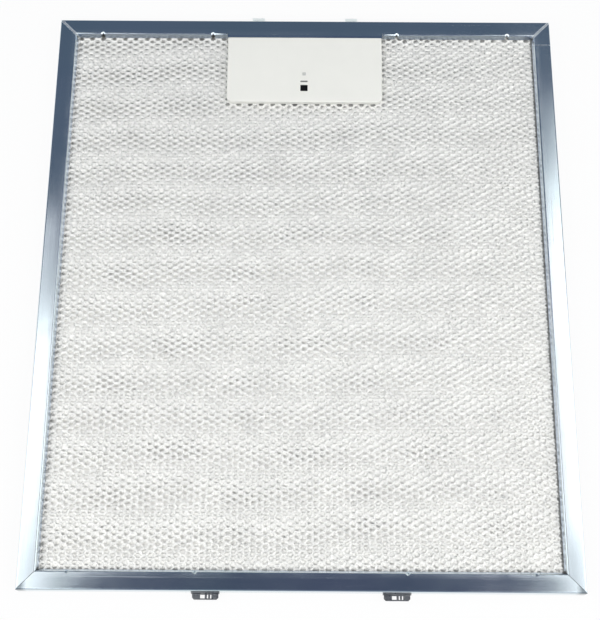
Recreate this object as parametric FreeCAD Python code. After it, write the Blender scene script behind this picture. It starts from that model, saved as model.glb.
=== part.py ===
import FreeCAD, Part
import math
import os

# Cooker hood grease filter: a pack of expanded aluminium sheets in one folded aluminium frame,
# with a sprung release handle at one edge and two steel lugs at the other.
# Millimetres. It lies on its back: X across, Y towards the handle edge, Z out of the visible face.
# The origin is the centre of the back plane.

# Outside of the folded frame
frame_width = 267.0
frame_length = 305.0
frame_thickness = 9.0

# Channel section of the frame
sheet = 0.6
bend_radius = 1.0
flange_width = 8.6
flange_fall = 0.05
lip_reach = 1.2
lip_drop = 2.5
lip_radius = 0.8
flat_lip = 1.9

# Mitred corners, and the seam where the strip's two ends meet
mitre_gap = 0.2
corner_relief = 1.4
seam_from_corner = 14.4
seam_gap = 0.15
splice_length = 12.0
splice_sheet = 0.5

# Lanced notches that grip the mesh, by their distance from the middle of the edge
punch_places = (50.0, 110.0)
punch_width = 2.2
punch_depth = 1.7
dent_width = 3.6
dent_length = 2.6
dent_depth = 0.35

# Mesh pack
pack_edge = 1.5
guard_thickness = 0.8
inner_layers = 5
guard_columns = 6
guard_rows = 11
guard_gap_share = 0.60
guard_ridge_share = 0.93
inner_columns = 4
inner_rows = 5
inner_gap_share = 0.47

# Handle plate
plate_width = 83.4
plate_length = 38.8
plate_corner = 3.2
plate_bevel = 0.4
tuck_width = 80.0
tuck_overlap = 0.9
peg_side = 3.6
peg_spacing = 30.0

# Latch slider and its two tongues
latch_travel = 5.0
tongue_width = 6.6
tongue_thickness = 2.4
tongue_spacing = 50.8
tongue_ramp = 1.4
tongue_round = 0.4
slider_width = 63.0
slider_length = 16.0

# Fixed guide of the slider
guide_width = 67.0
guide_wall = 1.5
guide_well = 31.2
guide_floor = 1.3
rear_flange_width = 80.0
rear_flange_thickness = 1.0
ear_length = 6.0
ear_reach = 2.6
ear_thickness = 0.7
ear_places = (0.25, 0.7)

# Leaf spring
spring_sheet = 0.4
spring_span = 54.0
spring_foot = 6.0
spring_crown = 8.0
spring_bend = 1.5

# Lugs at the bottom edge
lug_spacing = 90.0
lug_width = 13.4
lug_tip_width = 12.4
lug_sheet = 0.6
lug_step_out = 0.5
lug_step_run = 0.5
lug_step_drop = 1.2
lug_fold = 0.8
lug_bend = 0.3
lug_corner = 0.9
lug_tab_width = 17.0
lug_tab_height = 2.8
lug_window = 2.2
lug_window_place = -1.3
lug_slit = 0.6
lug_slit_places = (1.1, 2.6)

# How far the tongues and the lugs stand out of the frame
reach_out = 3.6

# Clearances
seat_gap = 0.05
slide_gap = 0.2
slot_gap = 0.4
fold_gap = 0.1
edge_gap = 0.5

# Places that follow from the sizes above
half_width = frame_width / 2
half_length = frame_length / 2
mid_height = frame_thickness / 2
channel_depth = flange_width + lip_reach
lip_angle = math.atan2(lip_drop, lip_reach)
flat_depth = flange_width + flat_lip
flat_fall = flange_fall * flat_depth / flange_width
pack_low = lip_drop + sheet * math.cos(lip_angle) + seat_gap
pack_high = frame_thickness - flange_fall - pack_low
pack_half_width = half_width - pack_edge
pack_half_length = half_length - pack_edge
layer_pitch = (pack_high - pack_low - 2 * guard_thickness) / inner_layers
window_top = half_length - channel_depth
plate_top = half_length - flat_depth - slide_gap
plate_low = pack_high + slide_gap
plate_high = frame_thickness
plate_bottom = plate_top - plate_length
tuck_length = latch_travel + tuck_overlap
guide_top = plate_top - slide_gap
well_top = guide_top - guide_wall
well_bottom = well_top - guide_well
guide_bottom = well_bottom - guide_wall
floor_high = pack_low - seat_gap - rear_flange_thickness + guide_floor
slider_low = floor_high + slide_gap
slider_high = pack_high - slide_gap
slider_top = well_top - slide_gap
slider_bottom = slider_top - slider_length
cutout_half_width = guide_width / 2 + edge_gap
cutout_bottom = guide_bottom - edge_gap
guard_cutout_half_width = cutout_half_width + ear_reach + edge_gap
guard_cutout_bottom = cutout_bottom - edge_gap
lug_high = mid_height + lug_step_drop / 2 + lug_sheet / 2
lug_low = lug_high - lug_sheet


def box(x_low, x_high, y_low, y_high, z_low, z_high):
    corner = FreeCAD.Vector(x_low, y_low, z_low)
    return Part.makeBox(x_high - x_low, y_high - y_low, z_high - z_low, corner)


def outline(corners):
    """Closed flat wire through corners given as (x, y, radius)."""
    entries = []
    exits = []
    middles = []
    count = len(corners)
    for i in range(count):
        x, y, radius = corners[i]
        point = FreeCAD.Vector(x, y, 0)
        to_last = FreeCAD.Vector(corners[i - 1][0] - x, corners[i - 1][1] - y, 0)
        after = corners[(i + 1) % count]
        to_next = FreeCAD.Vector(after[0] - x, after[1] - y, 0)
        half_angle = to_last.getAngle(to_next) / 2
        to_last.normalize()
        to_next.normalize()
        setback = radius / math.tan(half_angle)
        entries.append(point + to_last * setback)
        exits.append(point + to_next * setback)
        bisector = to_last + to_next
        if radius > 0:
            bisector.normalize()
            middles.append(point + bisector * (radius / math.sin(half_angle) - radius))
        else:
            middles.append(None)
    edges = []
    for i in range(count):
        if middles[i] is not None:
            edges.append(Part.Arc(entries[i], middles[i], exits[i]).toShape())
        following = entries[(i + 1) % count]
        if exits[i].distanceToPoint(following) > 1e-6:
            edges.append(Part.makeLine(exits[i], following))
    return Part.Wire(edges)


def upright(corners, z_low, z_high):
    """Prism on a plan outline."""
    solid = Part.Face(outline(corners)).extrude(FreeCAD.Vector(0, 0, z_high - z_low))
    solid.translate(FreeCAD.Vector(0, 0, z_low))
    return solid


def along_x(corners, x_low, x_high):
    """Prism across X on a section given in (y, z)."""
    solid = Part.Face(outline(corners)).extrude(FreeCAD.Vector(0, 0, x_high - x_low))
    turn = FreeCAD.Matrix(0, 0, 1, x_low, 1, 0, 0, 0, 0, 1, 0, 0, 0, 0, 0, 1)
    solid.Placement = FreeCAD.Placement(turn)
    return solid


def turned(solid, angle):
    copy = solid.copy()
    copy.rotate(FreeCAD.Vector(0, 0, 0), FreeCAD.Vector(0, 0, 1), angle)
    return copy


def strip_section(path, thickness):
    """Section of a folded strip: corners (x, y, radius) of its outer face, thickened to the left."""
    inner = []
    count = len(path)
    for i in range(count):
        x, y, radius = path[i]
        normals = []
        for a, b in ((i - 1, i), (i, i + 1)):
            if a >= 0 and b < count:
                dx = path[b][0] - path[a][0]
                dy = path[b][1] - path[a][1]
                size = math.hypot(dx, dy)
                normals.append((-dy / size, dx / size))
        nx = sum(n[0] for n in normals) / len(normals)
        ny = sum(n[1] for n in normals) / len(normals)
        scale = thickness / (nx * nx + ny * ny)
        if len(normals) == 2:
            turn = (path[i + 1][0] - x) * normals[0][0] + (path[i + 1][1] - y) * normals[0][1]
            inner_radius = radius - thickness if turn > 0 else radius + thickness
            inner_radius = max(inner_radius, 0) if radius > 0 else 0
        else:
            inner_radius = 0
        inner.append((x + nx * scale, y + ny * scale, inner_radius))
    return list(path) + inner[::-1]


# Frame: one strip folded to a channel and bent round the pack

def channel_side(length, offset):
    """One mitred side, along X at y = -offset."""
    tip = channel_depth - offset
    bend = flange_width - offset
    path = [
        (tip, frame_thickness - flange_fall - lip_drop, 0),
        (bend, frame_thickness - flange_fall, lip_radius),
        (-offset, frame_thickness, bend_radius),
        (-offset, 0, bend_radius),
        (bend, 0, lip_radius),
        (tip, lip_drop, 0),
    ]
    side = along_x(strip_section(path, sheet), -length / 2, length / 2)
    inner = channel_depth + 1
    mitre = upright(
        [
            (-length / 2, -offset, 0),
            (length / 2, -offset, 0),
            (length / 2 - inner, inner - offset, 0),
            (inner - length / 2, inner - offset, 0),
        ],
        -1,
        frame_thickness + 1,
    )
    return side.common(mitre)


def dent(x):
    """Pyramid pressed into the bend of the top side's lip."""
    half = dent_width / 2
    bend_y = half_length - flange_width
    bend_z = frame_thickness - flange_fall
    rim_z = bend_z + dent_depth / 4
    ring = [
        FreeCAD.Vector(x - half, bend_y, rim_z),
        FreeCAD.Vector(x, bend_y + dent_length / 2, rim_z),
        FreeCAD.Vector(x + half, bend_y, rim_z),
        FreeCAD.Vector(x, bend_y - dent_length / 2, rim_z),
    ]
    toward_lip = dent_length / 6
    lip_z = bend_z - toward_lip * math.tan(lip_angle)
    point = FreeCAD.Vector(x, bend_y - toward_lip, lip_z - dent_depth)
    faces = [Part.Face(Part.makePolygon(ring + ring[:1]))]
    for i in range(4):
        corner = ring[(i + 1) % 4]
        faces.append(Part.Face(Part.makePolygon([ring[i], corner, point, ring[i]])))
    return Part.Solid(Part.Shell(faces))


def make_frame():
    bottom = channel_side(frame_width, half_length)
    right = turned(channel_side(frame_length, half_width), 90)
    ring = bottom.fuse([right, turned(bottom, 180), turned(right, 180)]).removeSplitter()

    # Slits at the mitres, through the flanges and lips but not the wall
    cuts = []
    slit_length = (channel_depth + 1 - sheet) * math.sqrt(2)
    for x_sign in (-1, 1):
        for y_sign in (-1, 1):
            slit = box(0, slit_length, -mitre_gap / 2, mitre_gap / 2, -1, frame_thickness + 1)
            slit = turned(slit, math.degrees(math.atan2(-y_sign, -x_sign)))
            start = FreeCAD.Vector(x_sign * (half_width - sheet), y_sign * (half_length - sheet), 0)
            slit.translate(start)
            cuts.append(slit)
            relief = box(-corner_relief / 2, corner_relief / 2, -corner_relief / 2, corner_relief / 2,
                         -1, frame_thickness + 1)
            relief.translate(FreeCAD.Vector(x_sign * (half_width - channel_depth),
                                            y_sign * (half_length - channel_depth), 0))
            cuts.append(relief)

    # Seam between the strip's ends
    seam_y = half_length - seam_from_corner
    seam_inner = half_width - channel_depth - 1
    cuts.append(box(seam_inner, half_width + 1, seam_y - seam_gap / 2, seam_y + seam_gap / 2,
                    -1, frame_thickness + 1))

    # Slots in the wall for the tongues and the lugs
    for sign in (-1, 1):
        x = sign * tongue_spacing / 2
        slot_half = tongue_width / 2 + slot_gap
        slot_rise = tongue_thickness / 2 + slot_gap
        cuts.append(box(x - slot_half, x + slot_half, half_length - 2 * sheet, half_length + 1,
                        mid_height - slot_rise, mid_height + slot_rise))
        x = sign * lug_spacing / 2
        slot_half = lug_width / 2 + fold_gap
        cuts.append(box(x - slot_half, x + slot_half, -half_length - 1, 2 * sheet - half_length,
                        lug_low - fold_gap, lug_high + fold_gap))

    # Lanced notches: a dent in the front lip's bend at both ends, and at the handle end a hole in the lip
    for place in punch_places:
        for x in (-place, place):
            tip = half_length - channel_depth
            notch = [
                (x - punch_width / 2, tip - 1, 0),
                (x + punch_width / 2, tip - 1, 0),
                (x + punch_width / 2, tip + punch_depth / 3, 0),
                (x, tip + punch_depth, 0),
                (x - punch_width / 2, tip + punch_depth / 3, 0),
            ]
            cuts.append(upright(notch, mid_height, frame_thickness + 1))
            for angle in (0, 180):
                cuts.append(turned(dent(x), angle))

    # The lip over the handle plate is left unbent
    flat_half = plate_width / 2 + edge_gap
    cuts.append(box(-flat_half, flat_half, window_top - 1, half_length - flange_width + lip_radius,
                    mid_height, frame_thickness + 1))
    flat_half = flat_half - mitre_gap
    flat_start = flange_width - 2 * lip_radius
    flat_path = [
        (flat_depth - half_length, frame_thickness - flat_fall, 0),
        (flat_start - half_length, frame_thickness - flange_fall * flat_start / flange_width, 0),
    ]
    flat_lip = turned(along_x(strip_section(flat_path, sheet), -flat_half, flat_half), 180)

    # Inner tab that bridges the seam
    splice_end = flange_width - 2 * lip_radius
    splice_path = [
        (splice_end - half_width, frame_thickness - flange_fall * splice_end / flange_width, 0),
        (-half_width, frame_thickness, bend_radius),
        (-half_width, 0, bend_radius),
        (splice_end - half_width, 0, 0),
    ]
    splice_low = seam_y - splice_length / 2
    splice_high = seam_y + splice_length / 2
    splice = along_x(strip_section(splice_path, sheet + splice_sheet), splice_low, splice_high)
    splice = splice.cut(along_x(strip_section(splice_path, sheet), splice_low, splice_high))
    return ring.cut(cuts).fuse([flat_lip, turned(splice, 90)]).removeSplitter()


# Mesh pack: expanded sheets, staggered diamonds between strands that stretching has twisted

def strand_lean(pitch_y, low_share, high_share):
    """How far a gap's wider end is moved along, so that the strand's high edge stands over one side of it."""
    return pitch_y * abs(high_share - low_share) / 2


def diamond_gap(x, y, low, high, pitch_x, pitch_y, low_share, high_share):
    """Diamond hole with a share of the pitch at each face. The wider end leans, which slopes the strands one way."""
    rings = []
    for z, share in ((low, low_share), (high, high_share)):
        reach_x = pitch_x * share / 2
        reach_y = pitch_y * share / 2
        middle = y + strand_lean(pitch_y, low_share, high_share) * (share > min(low_share, high_share))
        rings.append([
            FreeCAD.Vector(x - reach_x, middle, z),
            FreeCAD.Vector(x, middle - reach_y, z),
            FreeCAD.Vector(x + reach_x, middle, z),
            FreeCAD.Vector(x, middle + reach_y, z),
        ])
    faces = [Part.Face(Part.makePolygon(ring + ring[:1])) for ring in rings]
    for i in range(4):
        j = (i + 1) % 4
        side = [rings[0][i], rings[0][j], rings[1][j], rings[1][i], rings[0][i]]
        faces.append(Part.Face(Part.makePolygon(side)))
    return Part.Solid(Part.Shell(faces))


def expanded_sheet(low, high, columns, rows, low_share, high_share, shift, half_cutout, cutout_low):
    """Sheet with staggered diamond gaps. Where the two shares differ, the strands are twisted."""
    solid = box(-pack_half_width, pack_half_width, -pack_half_length, pack_half_length, low, high)
    solid = solid.cut(box(-half_cutout, half_cutout, cutout_low, pack_half_length + 1,
                          low - 1, high + 1))
    window_half = half_width - channel_depth
    pitch_x = 2 * window_half / columns
    pitch_y = 2 * window_top / rows
    highest = cutout_low - pitch_y / 2 - strand_lean(pitch_y, low_share, high_share)
    gaps = []
    for half_row in range(1, 2 * rows):
        y = -window_top + half_row * pitch_y / 2
        for half_column in range(1, 2 * columns):
            if (half_row + half_column + shift) % 2:
                continue
            x = -window_half + half_column * pitch_x / 2
            if abs(x) < half_cutout + pitch_x / 2 and y > highest:
                continue
            gaps.append(diamond_gap(x, y, low, high, pitch_x, pitch_y, low_share, high_share))
    return solid.cut(gaps)


# Handle plate, with a tab under the frame and two pegs into the slider

def square_post(x, side, low, high):
    y = (slider_top + slider_bottom) / 2
    return box(x - side / 2, x + side / 2, y - side / 2, y + side / 2, low, high)


def make_handle_plate():
    top = plate_top
    half = plate_width / 2
    plate = upright(
        [
            (-half, plate_bottom, plate_corner),
            (half, plate_bottom, plate_corner),
            (half, top, 0),
            (-half, top, 0),
        ],
        plate_low,
        plate_high,
    )
    rim = []
    for edge in plate.Edges:
        high = edge.BoundBox.ZMin > plate_high - 1e-6
        if high and edge.BoundBox.YMin < top - 1e-6:
            rim.append(edge)
    plate = plate.makeChamfer(plate_bevel, rim)
    tuck_high = frame_thickness - flat_fall - sheet - slide_gap
    tuck = box(-tuck_width / 2, tuck_width / 2, top - 1, top + tuck_length, plate_low, tuck_high)
    pegs = []
    for sign in (-1, 1):
        pegs.append(square_post(sign * peg_spacing / 2, peg_side, slider_low + slide_gap, plate_low))
    return plate.fuse([tuck] + pegs).removeSplitter()


# Latch slider: a bar in the guide, with two tongues through the frame's wall

def make_latch_slider():
    bar = box(-slider_width / 2, slider_width / 2, slider_bottom, slider_top,
              slider_low, slider_high)
    tongues = []
    for sign in (-1, 1):
        x = sign * tongue_spacing / 2
        low = mid_height - tongue_thickness / 2
        high = mid_height + tongue_thickness / 2
        tip = half_length + reach_out
        section = [
            (slider_bottom + 1, low, 0),
            (tip - 2 * tongue_ramp, low, 0),
            (tip, low + tongue_ramp, 0),
            (tip, high, tongue_round),
            (slider_bottom + 1, high, 0),
        ]
        tongues.append(along_x(section, x - tongue_width / 2, x + tongue_width / 2))
    solid = bar.fuse(tongues).removeSplitter()
    holes = []
    for sign in (-1, 1):
        side = peg_side + 2 * fold_gap
        holes.append(square_post(sign * peg_spacing / 2, side, slider_low - 1, slider_high + 1))
    return solid.cut(holes)


# Latch guide: a tray clipped in the pack's cut-out, flanged behind it

def make_latch_guide():
    half = guide_width / 2
    flange_half = rear_flange_width / 2
    rear_low = pack_low - seat_gap - rear_flange_thickness
    rear = upright(
        [
            (-flange_half, plate_bottom, plate_corner),
            (flange_half, plate_bottom, plate_corner),
            (flange_half, guide_top, 0),
            (-flange_half, guide_top, 0),
        ],
        rear_low,
        pack_low - seat_gap,
    )
    tray = box(-half, half, guide_bottom, guide_top, rear_low, slider_high)
    well = box(guide_wall - half, half - guide_wall, well_bottom, well_top,
               floor_high, slider_high + 1)
    ears = []
    ear_low = pack_high - guard_thickness + seat_gap
    for sign in (-1, 1):
        for place in ear_places:
            y = well_bottom + guide_well * place
            x_pair = sorted((sign * (half - guide_wall), sign * (half + ear_reach)))
            ears.append(box(x_pair[0], x_pair[1], y - ear_length / 2, y + ear_length / 2,
                            ear_low, ear_low + ear_thickness))
    solid = rear.fuse([tray] + ears).cut(well)
    slots = []
    for sign in (-1, 1):
        x = sign * tongue_spacing / 2
        slot_half = tongue_width / 2 + slot_gap
        slots.append(box(x - slot_half, x + slot_half, well_top - 1, guide_top + 1,
                         mid_height - tongue_thickness / 2 - slot_gap, slider_high + 1))
    return solid.cut(slots).removeSplitter()


# Leaf spring: a bow between the guide's lower wall and the slider

def make_latch_spring():
    low = well_bottom + seat_gap
    high = slider_bottom - seat_gap - spring_sheet
    half = spring_span / 2
    crown = spring_crown / 2
    path = [
        (-half, low, 0),
        (spring_foot - half, low, spring_bend),
        (-crown, high, spring_bend),
        (crown, high, spring_bend),
        (half - spring_foot, low, spring_bend),
        (half, low, 0),
    ]
    return upright(strip_section(path, spring_sheet), slider_low + slide_gap, slider_high - slide_gap)


# Lug: a strip through the frame's wall, stepped down outside and turned down inside

def make_lug(x):
    wall = -half_length
    tab = wall + sheet + seat_gap
    step_end = wall - lug_step_out - lug_step_run
    tip = wall - reach_out
    path = [
        (tab + lug_sheet, lug_high - lug_tab_height, 0),
        (tab + lug_sheet, lug_high, lug_fold),
        (wall - lug_step_out, lug_high, lug_bend),
        (step_end, lug_high - lug_step_drop, lug_bend),
        (tip, lug_high - lug_step_drop, 0),
    ]
    solid = along_x(strip_section(path, lug_sheet), x - lug_tab_width / 2, x + lug_tab_width / 2)
    right = [
        (lug_tip_width / 2 - lug_corner, tip),
        (lug_tip_width / 2, tip + lug_corner),
        (lug_tip_width / 2, step_end),
        (lug_width / 2, step_end),
        (lug_width / 2, tab),
        (lug_tab_width / 2, tab),
        (lug_tab_width / 2, tab + 2 * lug_sheet),
    ]
    plan = [(x + across, y, 0) for across, y in right]
    plan += [(x - across, y, 0) for across, y in reversed(right)]
    cuts = []
    places = [(lug_window_place, lug_window)] + [(place, lug_slit) for place in lug_slit_places]
    for place, width in places:
        cuts.append(box(x + place - width / 2, x + place + width / 2, tip + lug_sheet, step_end - lug_bend,
                        0, frame_thickness))
    return solid.common(upright(plan, 0, frame_thickness)).cut(cuts).removeSplitter()


def write(name, shape):
    shape.exportStep("parts/" + name + ".step")


os.makedirs("parts", exist_ok=True)
write("frame", make_frame())
write("front_guard_mesh", expanded_sheet(
    pack_high - guard_thickness + seat_gap / 2, pack_high, guard_columns, guard_rows,
    guard_gap_share, guard_ridge_share, 0, guard_cutout_half_width, guard_cutout_bottom))
write("back_guard_mesh", expanded_sheet(
    pack_low, pack_low + guard_thickness - seat_gap / 2, guard_columns, guard_rows,
    guard_ridge_share, guard_gap_share, 1, cutout_half_width, cutout_bottom))
for layer in range(inner_layers):
    layer_high = pack_high - guard_thickness - layer * layer_pitch
    write("filter_mesh_" + str(layer + 1), expanded_sheet(
        layer_high - layer_pitch + seat_gap / 2, layer_high - seat_gap / 2, inner_columns, inner_rows,
        inner_gap_share, inner_gap_share, layer, cutout_half_width, cutout_bottom))
write("handle_plate", make_handle_plate())
write("latch_slider", make_latch_slider())
write("latch_guide", make_latch_guide())
write("latch_spring", make_latch_spring())
write("lug_left", make_lug(-lug_spacing / 2))
write("lug_right", make_lug(lug_spacing / 2))
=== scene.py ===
import math

import bpy
import numpy as np
from mathutils import Matrix, Vector


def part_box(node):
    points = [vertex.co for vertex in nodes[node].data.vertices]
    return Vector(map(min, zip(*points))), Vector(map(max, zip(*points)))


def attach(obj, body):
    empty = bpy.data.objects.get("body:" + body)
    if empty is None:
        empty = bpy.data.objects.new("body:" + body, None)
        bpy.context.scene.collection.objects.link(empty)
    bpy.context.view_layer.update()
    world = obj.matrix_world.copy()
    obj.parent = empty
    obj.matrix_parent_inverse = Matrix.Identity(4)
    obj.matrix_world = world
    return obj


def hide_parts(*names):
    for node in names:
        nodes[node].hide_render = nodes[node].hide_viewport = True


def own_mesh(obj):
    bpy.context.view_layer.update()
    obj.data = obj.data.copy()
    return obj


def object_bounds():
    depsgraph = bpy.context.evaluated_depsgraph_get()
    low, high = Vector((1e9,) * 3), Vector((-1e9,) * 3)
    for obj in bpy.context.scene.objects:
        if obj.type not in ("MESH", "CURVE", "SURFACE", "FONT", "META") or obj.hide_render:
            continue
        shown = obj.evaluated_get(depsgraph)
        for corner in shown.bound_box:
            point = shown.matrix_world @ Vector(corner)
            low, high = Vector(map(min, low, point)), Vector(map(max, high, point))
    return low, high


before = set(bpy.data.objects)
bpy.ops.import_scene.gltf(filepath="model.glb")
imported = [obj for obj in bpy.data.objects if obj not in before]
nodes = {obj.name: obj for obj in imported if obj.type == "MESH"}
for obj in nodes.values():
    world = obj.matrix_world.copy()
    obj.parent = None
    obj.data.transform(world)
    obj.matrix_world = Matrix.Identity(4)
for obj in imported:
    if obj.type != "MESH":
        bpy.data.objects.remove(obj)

cad_low, cad_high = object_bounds()
mm = 0.001

# Camera, found from the four outer corners of the frame in the photograph
image_width = 600
image_height = 620
focal_pixels = 1189
sensor_width = 36.0
near_clip = 0.01
camera_place = Vector((0.7, -203.2, 575.8)) * mm
camera_azimuth = math.radians(-0.671)
camera_elevation = math.radians(71.563)
camera_roll = math.radians(-0.268)

# Expanded sheets: the diamonds and strands of each kind, and how far the strands twist out of the plane
front_cell = {"long_way": 6.0 * mm, "short_way": 3.5 * mm, "turn": math.radians(0.45)}
second_cell = {"long_way": 5.97 * mm, "short_way": 2.96 * mm, "turn": math.radians(0.56)}
guard_strand = {"strand": 0.50 * mm, "blunt": True}
inner_strand = {"strand": 0.74 * mm, "blunt": False}
guard_twist = 0.24 * mm
inner_twist = 0.18 * mm
bond_length = 3.0 * mm
bond_flat = 0.6 * mm
foil = 0.2 * mm

# Expanded sheets: how far they run under the lip and the plate, and how uneven they are
under_lip = 3.0 * mm
plate_lap = 5.0 * mm
cell_jitter = 0.13 * mm
twist_jitter = 1 / 6
sheet_wave = 0.20 * mm
wave_lengths = (0.11, 0.061, 0.034)

# Expanded sheets: the painted shade on the inner ones, next to the lips and the plate and at the handle end
shade_start = 1.8 * mm
shade_full = 0.4 * mm
edge_shade = 0.8
inner_handle_shade = 0.12
deep_handle_shade = 0.5

# Frame: how far its lips reach in from the outer edge, where its seam is, and where the painted shade at the
# lips' tips, the painted highlights on the mitres, seam and inner folds, and the dark corner tips lie
lip_inset = 9.8 * mm
lip_dark = 0.4 * mm
lip_plain = 1.0 * mm
seam_from_corner = 14.4 * mm
fold_highlight_width = 1.3 * mm
corner_tip = 5.0 * mm
fold_sheen_start = 5.5 * mm
fold_sheen_full = 7.8 * mm

# Frame: how strongly each mark shows: the painted shade at the lips' tips, the painted highlights, the dark
# tips and the scratches
lip_tint = 0.6
seam_highlight = 0.3
tip_tint = 0.8
fold_sheen_tint = 0.14
streak_scuff = 0.25
scratch_and_highlight_roughness = 0.4

# Print on the plate
mark_place = -0.3 * mm
mark_width = 3.9 * mm
mark_bar = 0.9 * mm
mark_block = 3.7 * mm
mark_gap = 1.7 * mm
mark_neck = 1.9 * mm
mark_neck_gap = 3.1 * mm
mark_from_edge = 6.3 * mm
mark_film = 0.01 * mm
mark_corner = 0.3 * mm
mark_arc_steps = 3

# Edge rounding of the folded and moulded parts
metal_round = 0.12 * mm
plastic_round = 0.25 * mm
round_segments = 2
round_angle = math.radians(35)
weld_reach = 0.001 * mm

# Colours of the metals, as linear red, green and blue
strip_green = (0.65, 0.76, 0.79)
strip_blue = (0.74, 0.79, 0.86)
# Painted shade for the lips' tips
strip_lip = (0.52, 0.60, 0.76)
strip_tip = (0.12, 0.15, 0.17)
# Pale, for the scratches and for the painted highlights on the frame
strip_scratch_and_highlight = (0.90, 0.94, 0.96)
# The inner and deep sheets are a little paler than the front one, as painted light that lifts the shade they
# lie in
front_bright = (0.96, 0.95, 0.905)
inner_bright = (0.99, 0.98, 0.935)
deep_bright = (0.97, 0.96, 0.915)
# Colour of the painted shade on the inner sheets
foil_shade = (0.08, 0.085, 0.08)
zinc_grey = (0.36, 0.365, 0.37)
spring_grey = (0.50, 0.51, 0.53)

# Colours of the plastics and inks
plate_white = (0.90, 0.89, 0.82)
tongue_white = (0.90, 0.95, 0.92)
guide_white = (0.74, 0.745, 0.72)
ink_black = (0.004, 0.004, 0.005)
ink_grey = (0.16, 0.16, 0.15)
ink_pale = (0.50, 0.50, 0.47)

# Floor and surroundings
white = (1.0, 1.0, 1.0)
floor_reach = 6.0
floor_gap = 0.05 * mm
floor_glow = 0.92
floor_grey = (0.82, 0.82, 0.82)
sky_front = (0.19, 0.225, 0.30)
sky_back = (0.092, 0.126, 0.182)
sky_top = (0.070, 0.086, 0.138)
sky_lean_back = 0.8
sky_lean_up = 0.7

# Soft panels over the left and right: each fades out at its back and has an inset towards the middle
panel_height = 0.75
panel_outer = 2.5
panel_front = -0.9
panel_radiance = 1.75
panel_colour = (1.0, 0.985, 0.955)
left_panel_inner = 0.280
left_panel_back = 0.225
left_panel_fade = 0.13
left_inset_inner = 0.245
left_inset_back = 0.23
right_panel_inner = 0.290
right_panel_back = 0.425
right_panel_fade = 0.08
right_inset_inner = 0.252
right_inset_back = 0.385
inset_front = -0.03

# A wall under the outer edge of each panel, and one more panel, above and behind the camera
wall_front = -2.2
wall_back = 0.80
wall_radiance = 1.0
front_panel_reach = 1.7
front_panel_front = -1.3
front_panel_back = -0.5
front_panel_height = 1.3
front_panel_radiance = 1.74


def new_material(name):
    """A node material: returns it, its tree and its shader."""
    made = bpy.data.materials.new(name)
    made.use_nodes = True
    tree = made.node_tree
    return made, tree, tree.nodes["Principled BSDF"]


def add(tree, kind, inputs=None, **settings):
    """Adds a node. Inputs are values, or sockets to link from."""
    node = tree.nodes.new(kind)
    for key, value in settings.items():
        setattr(node, key, value)
    for key, value in (inputs or {}).items():
        if isinstance(value, bpy.types.NodeSocket):
            tree.links.new(value, node.inputs[key])
        else:
            node.inputs[key].default_value = value
    return node


def math_node(tree, operation, first, second=0.0):
    """The output of one Math node."""
    return add(tree, "ShaderNodeMath", {0: first, 1: second}, operation=operation).outputs[0]


def object_place(tree):
    """Object coordinates."""
    return add(tree, "ShaderNodeTexCoord").outputs["Object"]


def stretched(tree, place, scale):
    """Coordinates scaled per axis."""
    return add(tree, "ShaderNodeMapping", {"Vector": place, "Scale": scale}).outputs["Vector"]


def axes_of(tree, place):
    """The X, Y and Z of a vector."""
    return add(tree, "ShaderNodeSeparateXYZ", {"Vector": place}).outputs


def noise(tree, place, scale, detail=2.0, roughness=0.5):
    """The value of a noise texture."""
    inputs = {"Vector": place, "Scale": scale, "Detail": detail, "Roughness": roughness}
    return add(tree, "ShaderNodeTexNoise", inputs).outputs["Fac"]


def spread(tree, value, low=0.0, high=1.0, from_low=0.3, from_high=0.7):
    """Maps a value to a range. By default it spreads a noise over 0 to 1."""
    inputs = {"Value": value, "From Min": from_low, "From Max": from_high, "To Min": low, "To Max": high}
    return add(tree, "ShaderNodeMapRange", inputs).outputs["Result"]


def tint(tree, factor, first, second):
    """A colour between two colours, each given by its numbers or by a socket."""
    ends = [end if isinstance(end, bpy.types.NodeSocket) else (*end, 1.0) for end in (first, second)]
    inputs = {"Factor": factor, "A": ends[0], "B": ends[1]}
    return add(tree, "ShaderNodeMix", inputs, data_type="RGBA").outputs["Result"]


def scaled(colour, share):
    """A lighter or darker colour."""
    return [part * share for part in colour]


def bump(tree, height, strength, distance):
    """The normal of a bump node."""
    inputs = {"Height": height, "Strength": strength, "Distance": distance}
    return add(tree, "ShaderNodeBump", inputs).outputs["Normal"]


def past_outline(tree, axes, inset):
    """How far a point lies past the sides and past the ends of the frame's outline, drawn in by the inset."""
    frame_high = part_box("frame")[1]
    across = math_node(tree, "ABSOLUTE", axes["X"])
    along = math_node(tree, "ABSOLUTE", axes["Y"])
    past_side = math_node(tree, "SUBTRACT", across, frame_high.x - inset)
    past_end = math_node(tree, "SUBTRACT", along, frame_high.y - inset)
    return past_side, past_end


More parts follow.
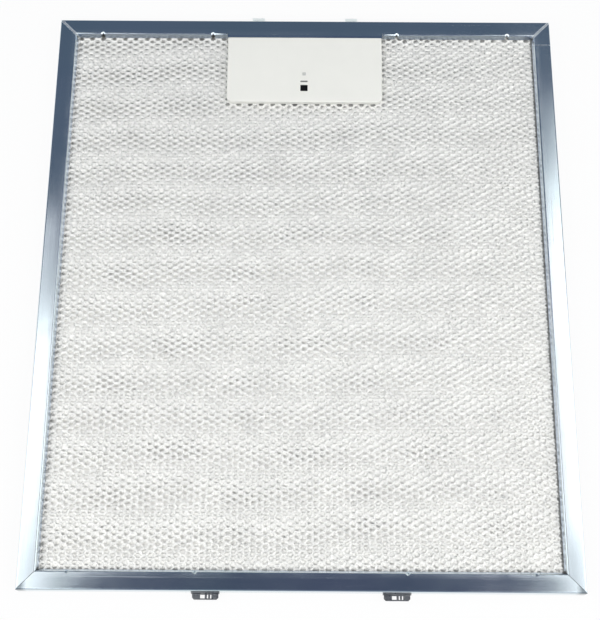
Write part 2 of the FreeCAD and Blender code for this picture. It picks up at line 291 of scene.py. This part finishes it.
def strip_zones(tree, place):
    """Masks on the frame: left or right side, past the outer edge, at a painted highlight on a mitre or the
    seam, at a dark tip.
    """
    axes = axes_of(tree, place)
    past_side, past_end = past_outline(tree, axes, 0.0)
    on_side = math_node(tree, "GREATER_THAN", past_side, past_end)
    past_edge = math_node(tree, "MAXIMUM", past_side, past_end)
    handle_half = math_node(tree, "GREATER_THAN", axes["Y"], 0.0)
    right_half = math_node(tree, "GREATER_THAN", axes["X"], 0.0)

    # Painted highlight: a pale line on the two mitres at the handle end and a fainter one on the seam, for
    # the glint on their raised edges
    off_mitre = math_node(tree, "ABSOLUTE", math_node(tree, "SUBTRACT", past_side, past_end))
    mitre = spread(tree, off_mitre, 1.0, 0.0, fold_highlight_width / 2, fold_highlight_width)
    mitre = math_node(tree, "MULTIPLY", mitre, handle_half)
    seam_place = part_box("frame")[1].y - seam_from_corner
    off_seam = math_node(tree, "ABSOLUTE", math_node(tree, "SUBTRACT", axes["Y"], seam_place))
    seam = spread(tree, off_seam, seam_highlight, 0.0, fold_highlight_width / 4, fold_highlight_width / 2)
    seam = math_node(tree, "MULTIPLY", seam, right_half)
    folds = math_node(tree, "MAXIMUM", mitre, seam)

    bottom_side = math_node(tree, "LESS_THAN", math_node(tree, "ADD", handle_half, on_side), 0.5)
    tip = spread(tree, past_side, 0.0, tip_tint, -corner_tip, -corner_tip / 2)
    tip = math_node(tree, "MULTIPLY", tip, bottom_side)
    return on_side, past_edge, folds, tip


def brushed_place(tree, place, on_side):
    """Coordinates drawn out along each side of the frame, as the brushing runs."""
    along = 25.0
    across = 3000.0
    inputs = {"Factor": on_side,
              "A": stretched(tree, place, (along, across, across)),
              "B": stretched(tree, place, (across, along, across))}
    return add(tree, "ShaderNodeMix", inputs, data_type="VECTOR").outputs["Result"]


def rolled_aluminium():
    """Satin strip, brushed along each side of the frame and finely scratched, with painted highlights on the
    mitres, the seam and the inner folds, painted shade at the lips' tips, and dark at two corner tips.
    """
    made, tree, shader = new_material("rolled_aluminium")
    place = object_place(tree)
    on_side, past_edge, folds, tip = strip_zones(tree, place)
    run = brushed_place(tree, place, on_side)
    brush = noise(tree, run, scale=1.0, detail=3.0, roughness=0.6)
    streak = noise(tree, run, scale=0.35)
    mottle = noise(tree, place, scale=45.0, detail=4.0, roughness=0.6)
    cast = noise(tree, place, scale=14.0)

    # Painted shade on the last millimetre of each lip, at its tip
    lip = spread(tree, past_edge, lip_tint, 0.0, lip_dark - lip_inset, lip_plain - lip_inset)
    # Painted highlight: a pale band over each inner fold and lip, broken up by the mottle
    fold_sheen = spread(tree, past_edge, fold_sheen_tint, 0.0, -fold_sheen_full, -fold_sheen_start)
    fold_sheen = math_node(tree, "MULTIPLY", fold_sheen, spread(tree, mottle, low=0.4, high=1.6))
    streaked = spread(tree, streak, high=streak_scuff, from_low=0.66, from_high=0.76)
    # Pale colour and more roughness for the real scratches and the painted highlights together
    scratch_and_highlight = math_node(tree, "MAXIMUM", folds, streaked)
    scratch_and_highlight = math_node(tree, "MAXIMUM", scratch_and_highlight, fold_sheen)

    colour = tint(tree, spread(tree, cast), strip_green, strip_blue)
    colour = tint(tree, lip, colour, strip_lip)
    colour = tint(tree, tip, colour, strip_tip)
    colour = tint(tree, scratch_and_highlight, colour, strip_scratch_and_highlight)
    tree.links.new(colour, shader.inputs["Base Color"])
    rough = math_node(tree, "ADD", spread(tree, brush, high=0.05), spread(tree, mottle, low=0.10, high=0.15))
    rough = math_node(tree, "ADD", rough, math_node(tree, "MULTIPLY", scratch_and_highlight, scratch_and_highlight_roughness))
    tree.links.new(rough, shader.inputs["Roughness"])
    tree.links.new(bump(tree, brush, strength=0.04, distance=0.01 * mm), shader.inputs["Normal"])
    shader.inputs["Metallic"].default_value = 1.0
    return made


def painted_shade_mask(tree, place, handle_shade):
    """Painted shade: rises close to the lips and round the plate, which shade the sheets there, and slowly
    towards the handle end, where less light reaches them.
    """
    axes = axes_of(tree, place)
    plate_low, plate_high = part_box("handle_plate")
    past_side, past_end = past_outline(tree, axes, lip_inset)
    past_lip = math_node(tree, "MAXIMUM", past_side, past_end)
    into_side = math_node(tree, "SUBTRACT", plate_high.x, math_node(tree, "ABSOLUTE", axes["X"]))
    into_end = math_node(tree, "SUBTRACT", axes["Y"], plate_low.y)
    into_plate = math_node(tree, "MINIMUM", into_side, into_end)
    nearest = math_node(tree, "MAXIMUM", past_lip, into_plate)
    patchy = spread(tree, noise(tree, place, scale=260.0), low=0.4)
    edge = spread(tree, nearest, 0.0, edge_shade, -shade_start, -shade_full)
    edge = math_node(tree, "MULTIPLY", edge, patchy)
    handle_end = spread(tree, axes["Y"], 0.0, handle_shade, 0.0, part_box("frame")[1].y)
    return math_node(tree, "MAXIMUM", edge, handle_end)


def expanded_foil(name, bright, rough, handle_shade=None):
    """Bright stretched foil with dull patches and creases, and dark specks of painted shade for the shade in
    its tiny creases. An inner sheet also gets painted shade.
    """
    made, tree, shader = new_material(name)
    place = object_place(tree)
    patches = noise(tree, place, scale=70.0, detail=3.0, roughness=0.6)
    specks = noise(tree, place, scale=1150.0, roughness=0.6)
    grain = noise(tree, place, scale=1100.0, roughness=0.6)
    # Dark specks of painted shade, for the shade in the foil's tiny creases
    speckled = spread(tree, specks, from_low=0.56, from_high=0.70)
    colour = tint(tree, spread(tree, patches), scaled(bright, 0.92), bright)
    colour = tint(tree, speckled, colour, scaled(bright, 0.56))
    # Painted shade on the inner sheets, near the lips, round the plate and towards the handle end
    if handle_shade is not None:
        colour = tint(tree, painted_shade_mask(tree, place, handle_shade), colour, foil_shade)
    tree.links.new(colour, shader.inputs["Base Color"])
    tree.links.new(spread(tree, grain, low=rough - 0.08, high=rough + 0.1), shader.inputs["Roughness"])
    tree.links.new(bump(tree, grain, strength=1.0, distance=0.40 * mm), shader.inputs["Normal"])
    shader.inputs["Metallic"].default_value = 0.22
    return made


def moulded_plastic(name, colour):
    """Off-white moulded plastic with a fine spark-eroded grain."""
    made, tree, shader = new_material(name)
    place = object_place(tree)
    cloud = noise(tree, place, scale=30.0, detail=3.0, roughness=0.6)
    grain = noise(tree, place, scale=2600.0)
    clouded = tint(tree, spread(tree, cloud), scaled(colour, 0.965), colour)
    tree.links.new(clouded, shader.inputs["Base Color"])
    tree.links.new(spread(tree, grain, low=0.42, high=0.55), shader.inputs["Roughness"])
    tree.links.new(bump(tree, grain, strength=0.06, distance=0.02 * mm), shader.inputs["Normal"])
    return made


def plated_steel(name, colour, rough):
    """Plated or polished steel: small spangles and a soft sheen."""
    made, tree, shader = new_material(name)
    place = object_place(tree)
    spangle = add(tree, "ShaderNodeTexVoronoi", {"Vector": place, "Scale": 900.0}).outputs["Distance"]
    grain = noise(tree, place, scale=700.0, detail=4.0, roughness=0.7)
    grained = tint(tree, spread(tree, grain), scaled(colour, 0.78), colour)
    spangled = spread(tree, spangle, rough - 0.06, rough + 0.1, from_low=0.0, from_high=0.8)
    tree.links.new(grained, shader.inputs["Base Color"])
    tree.links.new(spangled, shader.inputs["Roughness"])
    tree.links.new(bump(tree, grain, strength=0.15, distance=0.03 * mm), shader.inputs["Normal"])
    shader.inputs["Metallic"].default_value = 1.0
    return made


def pad_print(name, colour):
    """Thin matt ink film."""
    made, tree, shader = new_material(name)
    cover = noise(tree, object_place(tree), scale=1500.0)
    worn = tint(tree, spread(tree, cover), colour, scaled(colour, 1.3))
    tree.links.new(worn, shader.inputs["Base Color"])
    shader.inputs["Roughness"].default_value = 0.6
    shader.inputs["Specular IOR Level"].default_value = 0.15
    return made


def finish_edges(node, width, finish):
    """Rounds a CAD node's edges for the light and gives it its finish."""
    part = nodes[node]
    part.data.materials.clear()
    part.data.materials.append(finish)
    part.data.polygons.foreach_set("use_smooth", [True] * len(part.data.polygons))
    weld = part.modifiers.new("weld", "WELD")
    weld.merge_threshold = weld_reach
    edges = part.modifiers.new("edges", "BEVEL")
    edges.width = width
    edges.segments = round_segments
    edges.limit_method = "ANGLE"
    edges.angle_limit = round_angle
    normals = part.modifiers.new("normals", "WEIGHTED_NORMAL")
    normals.keep_sharp = True


def add_piece(name, vertices, faces, body, finish):
    """A mesh piece that rides on a body."""
    mesh = bpy.data.meshes.new(name)
    mesh.from_pydata(vertices, [], faces)
    mesh.update()
    mesh.materials.append(finish)
    piece = bpy.data.objects.new(name, mesh)
    bpy.context.scene.collection.objects.link(piece)
    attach(piece, body)
    return piece


def sheet_area(node):
    """The part of a sheet to show, which runs a little under the lip, and the cut-out behind the plate."""
    low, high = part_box(node)
    frame_low, frame_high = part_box("frame")
    plate_low, plate_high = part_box("handle_plate")
    inset = lip_inset - under_lip
    area_low = Vector((frame_low.x + inset, frame_low.y + inset, low.z))
    area_high = Vector((frame_high.x - inset, frame_high.y - inset, high.z))
    cut_low = Vector((plate_low.x + plate_lap, plate_low.y + plate_lap))
    cut_high = Vector((plate_high.x - plate_lap, frame_high.y))
    return area_low, area_high, cut_low, cut_high


def gap_corners(long_way, short_way, strand, blunt):
    """A gap's corners, from its left tip round over the top, with the twist third, and each one's number."""
    tip = (long_way - bond_length) / 2
    rise = short_way / 2 - strand
    if blunt:
        corners = [(-tip, 0, 0), (-bond_flat, rise, -1), (bond_flat, rise, -1),
                   (tip, 0, 0), (bond_flat, -rise, 1), (-bond_flat, -rise, 1)]
        numbers = {"left": 0, "up_left": 1, "up_right": 2, "right": 3, "low_right": 4, "low_left": 5}
    else:
        corners = [(-tip, 0, 0), (0, rise, -1), (tip, 0, 0), (0, -rise, 1)]
        numbers = {"left": 0, "up_left": 1, "up_right": 1, "right": 2, "low_right": 3, "low_left": 3}
    return np.array(corners), numbers


def made_uneven(x, y, z, twist, seed):
    """Small shifts of each corner, then long waves over the whole sheet."""
    generator = np.random.default_rng(seed)
    x = x + generator.normal(0, cell_jitter, x.shape)
    y = y + generator.normal(0, cell_jitter, y.shape)
    z = z + generator.normal(0, abs(twist) * twist_jitter, z.shape)
    for length in wave_lengths:
        heading = generator.uniform(0, math.tau)
        phase = generator.uniform(0, math.tau)
        wave = np.sin((x * math.cos(heading) + y * math.sin(heading)) * math.tau / length + phase)
        y = y + sheet_wave * wave * length / wave_lengths[0]
        x = x + sheet_wave * wave * length / (2 * wave_lengths[0])
    return x, y, z


def sheet_faces(kept, numbers, count, blunt):
    """Strands, bonds and cut edges between the gaps, as loops of vertex numbers on the front and the back."""
    rows, columns = kept.shape
    row, column = np.meshgrid(np.arange(rows), np.arange(columns), indexing="ij")
    odd = row % 2
    layer = rows * columns * count
    faces = []

    def cell(row_step, column_step):
        """Row, column and presence of a neighbour."""
        to_row = row + row_step
        to_column = column + column_step
        inside = (to_row >= 0) & (to_row < rows) & (to_column >= 0) & (to_column < columns)
        to_row = np.clip(to_row, 0, rows - 1)
        to_column = np.clip(to_column, 0, columns - 1)
        return to_row, to_column, inside & kept[to_row, to_column]

    def corner(place, which):
        """Vertex numbers of one corner of a cell."""
        return (place[0] * columns + place[1]) * count + numbers[which]

    def skin(present, *loop):
        """A face on the front and its mate on the back."""
        loop = np.stack([corner(*point)[present] for point in loop], -1)
        faces.extend(loop.tolist())
        faces.extend((loop[:, ::-1] + layer).tolist())

    def wall(present, first, second):
        """The cut edge between two corners of a gap."""
        first = corner(here, first)[present]
        second = corner(here, second)[present]
        faces.extend(np.stack((second, first, first + layer, second + layer), -1).tolist())

    here = cell(0, 0)
    right_up = cell(1, odd)
    left_up = cell(1, odd - 1)
    right_down = cell(-1, odd)
    left_down = cell(-1, odd - 1)
    up = cell(2, 0)
    down = cell(-2, 0)
    strand_up = here[2] & right_up[2]
    strand_down = here[2] & right_down[2]
    bond_up = here[2] & right_up[2] & left_up[2] & up[2]
    bond_down = here[2] & left_down[2] & right_down[2] & down[2]

    skin(strand_up, (here, "up_right"), (here, "right"), (right_up, "low_left"), (right_up, "left"))
    skin(strand_down, (here, "right"), (here, "low_right"), (right_down, "left"), (right_down, "up_left"))
    if blunt:
        skin(bond_up, (here, "up_left"), (here, "up_right"), (right_up, "left"),
             (up, "low_right"), (up, "low_left"), (left_up, "right"))
        wall(bond_up, "up_left", "up_right")
        wall(bond_down, "low_right", "low_left")
    else:
        skin(bond_up, (here, "up_left"), (right_up, "left"), (up, "low_left"), (left_up, "right"))
    wall(here[2] & left_up[2], "left", "up_left")
    wall(strand_up, "up_right", "right")
    wall(strand_down, "right", "low_right")
    wall(here[2] & left_down[2], "low_left", "left")
    return faces


def expanded_sheet(name, node, finish, seed, twist, long_way, short_way, turn, strand, blunt):
    """Expanded metal: slit sheet pulled out to staggered diamonds, its strands twisted out of the plane."""
    low, high, cut_low, cut_high = sheet_area(node)
    columns = math.ceil((high.x - low.x) / long_way)
    rows = math.ceil(2 * (high.y - low.y) / short_way)
    row, column = np.meshgrid(np.arange(rows), np.arange(columns), indexing="ij")
    # Odd rows stand half a diamond to the right of even ones
    centre_x = low.x + (column + 0.25 + 0.5 * (row % 2)) * long_way
    centre_y = low.y + row * short_way / 2
    behind_plate = (np.abs(centre_x) < cut_high.x) & (centre_y > cut_low.y)
    kept = (centre_x < high.x) & (centre_y < high.y) & ~behind_plate

    corners, numbers = gap_corners(long_way, short_way, strand, blunt)
    x = centre_x[..., None] + corners[:, 0]
    y = centre_y[..., None] + corners[:, 1]
    z = np.broadcast_to(corners[:, 2] * twist, x.shape)
    x, y, z = made_uneven(x, y, z, twist, seed)
    y = y + x * math.tan(turn)
    middle = (low.z + high.z) / 2
    top = np.stack((x, y, middle + z + foil / 2), -1).reshape(-1, 3)
    bottom = np.stack((x, y, middle + z - foil / 2), -1).reshape(-1, 3)
    faces = sheet_faces(kept, numbers, len(corners), blunt)
    piece = add_piece(name, np.concatenate((top, bottom)), faces, "filter", finish)
    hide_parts(node)


def sprung_strip(name, node, finish):
    """The leaf spring, as a copy of its CAD node's mesh that rides on the filter."""
    mesh = nodes[node].data
    vertices = [tuple(vertex.co) for vertex in mesh.vertices]
    faces = [tuple(polygon.vertices) for polygon in mesh.polygons]
    piece = add_piece(name, vertices, faces, "filter", finish)
    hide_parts(node)
    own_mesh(piece)


def print_pad(name, width, y_low, y_high, finish):
    """A printed patch on the plate's face, with rounded corners."""
    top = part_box("handle_plate")[1].z
    reach = width / 2 - mark_corner
    right = mark_place + reach
    left = mark_place - reach
    upper = y_high - mark_corner
    lower = y_low + mark_corner
    centres = ((right, upper, 0), (left, upper, 90), (left, lower, 180), (right, lower, 270))
    outline = []
    for centre_x, centre_y, start in centres:
        for step in range(mark_arc_steps + 1):
            angle = math.radians(start + 90 * step / mark_arc_steps)
            x = centre_x + mark_corner * math.cos(angle)
            y = centre_y + mark_corner * math.sin(angle)
            outline.append((x, y))
    count = len(outline)
    vertices = [(x, y, top - mark_film) for x, y in outline]
    vertices += [(x, y, top + mark_film) for x, y in outline]
    faces = [list(range(count))[::-1], list(range(count, 2 * count))]
    for i in range(count):
        j = (i + 1) % count
        faces.append((i, j, count + j, count + i))
    add_piece(name, vertices, faces, "latch", finish)


def add_floor():
    """Pale floor that shows white to the camera and in the metal, and keeps the object's shadow."""
    mesh = bpy.data.meshes.new("floor")
    corners = [(-floor_reach, -floor_reach, 0), (floor_reach, -floor_reach, 0),
               (floor_reach, floor_reach, 0), (-floor_reach, floor_reach, 0)]
    mesh.from_pydata(corners, [], [(0, 1, 2, 3)])
    floor = bpy.data.objects.new("floor", mesh)
    bpy.context.scene.collection.objects.link(floor)
    floor.location.z = cad_low.z - floor_gap
    made, tree, shader = new_material("floor")
    shader.inputs["Base Color"].default_value = (*floor_grey, 1.0)
    shader.inputs["Roughness"].default_value = 0.9
    shader.inputs["Specular IOR Level"].default_value = 0.0
    path = add(tree, "ShaderNodeLightPath")
    seen = math_node(tree, "MAXIMUM", path.outputs["Is Camera Ray"], path.outputs["Is Glossy Ray"])
    seen = math_node(tree, "MAXIMUM", seen, path.outputs["Is Transmission Ray"])
    glow = add(tree, "ShaderNodeEmission", {"Color": (*white, 1.0), "Strength": 1.0})
    share = math_node(tree, "MULTIPLY", seen, floor_glow)
    mix = add(tree, "ShaderNodeMixShader", {0: share, 1: shader.outputs[0], 2: glow.outputs[0]})
    tree.links.new(mix.outputs[0], tree.nodes["Material Output"].inputs["Surface"])
    mesh.materials.append(made)


def soft_light(name, width, depth, radiance):
    """A rectangular light of even radiance that the camera doesn't see."""
    light = bpy.data.lights.new(name, "AREA")
    light.shape = "RECTANGLE"
    light.size = width
    light.size_y = depth
    light.energy = radiance * math.pi * light.size * light.size_y
    light.color = panel_colour
    lamp = bpy.data.objects.new(name, light)
    lamp.visible_camera = False
    bpy.context.scene.collection.objects.link(lamp)
    return lamp


def add_panel(name, x_span, y_span, height, radiance, in_metal=True):
    """A soft light overhead that faces down. It may be kept out of the metal's reflections."""
    lamp = soft_light(name, x_span[1] - x_span[0], y_span[1] - y_span[0], radiance)
    lamp.location = (sum(x_span) / 2, sum(y_span) / 2, height)
    lamp.visible_glossy = in_metal


def add_wall(name, x):
    """An upright soft light under the outer edge of a panel, facing in."""
    lamp = soft_light(name, wall_back - wall_front, panel_height, wall_radiance)
    lamp.location = (x, (wall_front + wall_back) / 2, panel_height / 2)
    lamp.rotation_euler = Vector((-x, 0, 0)).to_track_quat("-Z", "Y").to_euler()


def add_lights():
    """Panels and walls on both sides, and the panel behind the camera, which the metal doesn't show."""
    left_span = (-panel_outer, -left_panel_inner)
    right_span = (right_panel_inner, panel_outer)
    left_fade = (left_panel_back, left_panel_back + left_panel_fade)
    right_fade = (right_panel_back, right_panel_back + right_panel_fade)
    left_inset = (-left_panel_inner, -left_inset_inner)
    right_inset = (right_inset_inner, right_panel_inner)
    front_span = (-front_panel_reach, front_panel_reach)
    panels = [("left_panel", left_span, (panel_front, left_panel_back), panel_radiance),
              ("left_fade", left_span, left_fade, panel_radiance / 2),
              ("right_panel", right_span, (panel_front, right_panel_back), panel_radiance),
              ("right_fade", right_span, right_fade, panel_radiance / 2),
              ("left_inset", left_inset, (inset_front, left_inset_back), panel_radiance),
              ("right_inset", right_inset, (inset_front, right_inset_back), panel_radiance)]
    for name, x_span, y_span, radiance in panels:
        add_panel(name, x_span, y_span, panel_height, radiance)
    add_wall("left_wall", -panel_outer)
    add_wall("right_wall", panel_outer)
    add_panel("front_panel", front_span, (front_panel_front, front_panel_back), front_panel_height,
              front_panel_radiance, in_metal=False)


def add_world():
    """Dim blue-grey surroundings, paler low down and in front, and white to the camera."""
    world = bpy.data.worlds.new("studio")
    world.use_nodes = True
    bpy.context.scene.world = world
    tree = world.node_tree
    axes = axes_of(tree, add(tree, "ShaderNodeTexCoord").outputs["Generated"])
    back = math_node(tree, "MULTIPLY", axes["Y"], sky_lean_back)
    level = math_node(tree, "ADD", back, math_node(tree, "MULTIPLY", axes["Z"], sky_lean_up))
    colour = tint(tree, spread(tree, level, from_low=0.0, from_high=0.6), sky_front, sky_back)
    overhead = spread(tree, axes["Z"], from_low=0.88, from_high=0.99)
    colour = tint(tree, overhead, colour, sky_top)
    path = add(tree, "ShaderNodeLightPath")
    colour = tint(tree, path.outputs["Is Camera Ray"], colour, white)
    tree.links.new(colour, tree.nodes["Background"].inputs["Color"])


def add_camera():
    """The photograph's camera."""
    level = math.cos(camera_elevation)
    heading = Vector((math.sin(camera_azimuth) * level, math.cos(camera_azimuth) * level,
                      -math.sin(camera_elevation)))
    right = Vector((math.cos(camera_azimuth), -math.sin(camera_azimuth), 0))
    up = right.cross(heading)
    rolled_right = math.cos(camera_roll) * right + math.sin(camera_roll) * up
    rolled_up = math.cos(camera_roll) * up - math.sin(camera_roll) * right
    lens = bpy.data.cameras.new("camera")
    lens.sensor_width = sensor_width
    lens.lens = focal_pixels / max(image_width, image_height) * sensor_width
    lens.clip_start = near_clip
    camera = bpy.data.objects.new("camera", lens)
    camera.matrix_world = Matrix((rolled_right, rolled_up, -heading)).transposed().to_4x4()
    camera.location = camera_place
    bpy.context.scene.collection.objects.link(camera)
    bpy.context.scene.camera = camera


# Finishes
strip = rolled_aluminium()
front_foil = expanded_foil("front_foil", front_bright, rough=0.36)
inner_foil = expanded_foil("inner_foil", inner_bright, rough=0.40, handle_shade=inner_handle_shade)
deep_foil = expanded_foil("deep_foil", deep_bright, rough=0.40, handle_shade=deep_handle_shade)
plate_plastic = moulded_plastic("plate_plastic", plate_white)
tongue_plastic = moulded_plastic("tongue_plastic", tongue_white)
guide_plastic = moulded_plastic("guide_plastic", guide_white)
zinc = plated_steel("zinc_steel", zinc_grey, rough=0.30)
spring_steel = plated_steel("spring_steel", spring_grey, rough=0.28)

# CAD nodes that show as they are
finish_edges("frame", metal_round, strip)
finish_edges("handle_plate", plastic_round, plate_plastic)
finish_edges("latch_slider", plastic_round, tongue_plastic)
finish_edges("latch_guide", plastic_round, guide_plastic)
finish_edges("lug_left", metal_round, zinc)
finish_edges("lug_right", metal_round, zinc)
finish_edges("filter_mesh_3", metal_round, deep_foil)
finish_edges("filter_mesh_4", metal_round, deep_foil)

# Sheets at their true pitch, from the front to the back, and the spring
expanded_sheet("front_mesh", "front_guard_mesh", front_foil, seed=11, twist=guard_twist,
               **front_cell, **guard_strand)
expanded_sheet("second_mesh", "filter_mesh_1", inner_foil, seed=12, twist=inner_twist,
               **second_cell, **inner_strand)
expanded_sheet("third_mesh", "filter_mesh_2", deep_foil, seed=13, twist=inner_twist,
               **front_cell, **inner_strand)
expanded_sheet("last_mesh", "filter_mesh_5", inner_foil, seed=14, twist=-inner_twist,
               **second_cell, **inner_strand)
expanded_sheet("back_mesh", "back_guard_mesh", front_foil, seed=15, twist=-guard_twist,
               **front_cell, **guard_strand)
sprung_strip("leaf_spring", "latch_spring", spring_steel)

# Print on the plate, from its inner edge towards the frame
ink = pad_print("dark_ink", ink_black)
grey_ink = pad_print("grey_ink", ink_grey)
pale_ink = pad_print("pale_ink", ink_pale)
mark_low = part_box("handle_plate")[0].y + mark_from_edge
print_pad("print_block", mark_width, mark_low, mark_low + mark_block, ink)
bar_low = mark_low + mark_block + mark_gap
print_pad("print_bar", mark_width, bar_low, bar_low + mark_bar, grey_ink)
neck_low = bar_low + mark_bar + mark_neck_gap
print_pad("print_neck", mark_neck, neck_low, neck_low + mark_neck, pale_ink)

# Studio
add_floor()
add_world()
add_lights()
add_camera()
bpy.context.scene.view_settings.view_transform = "Standard"
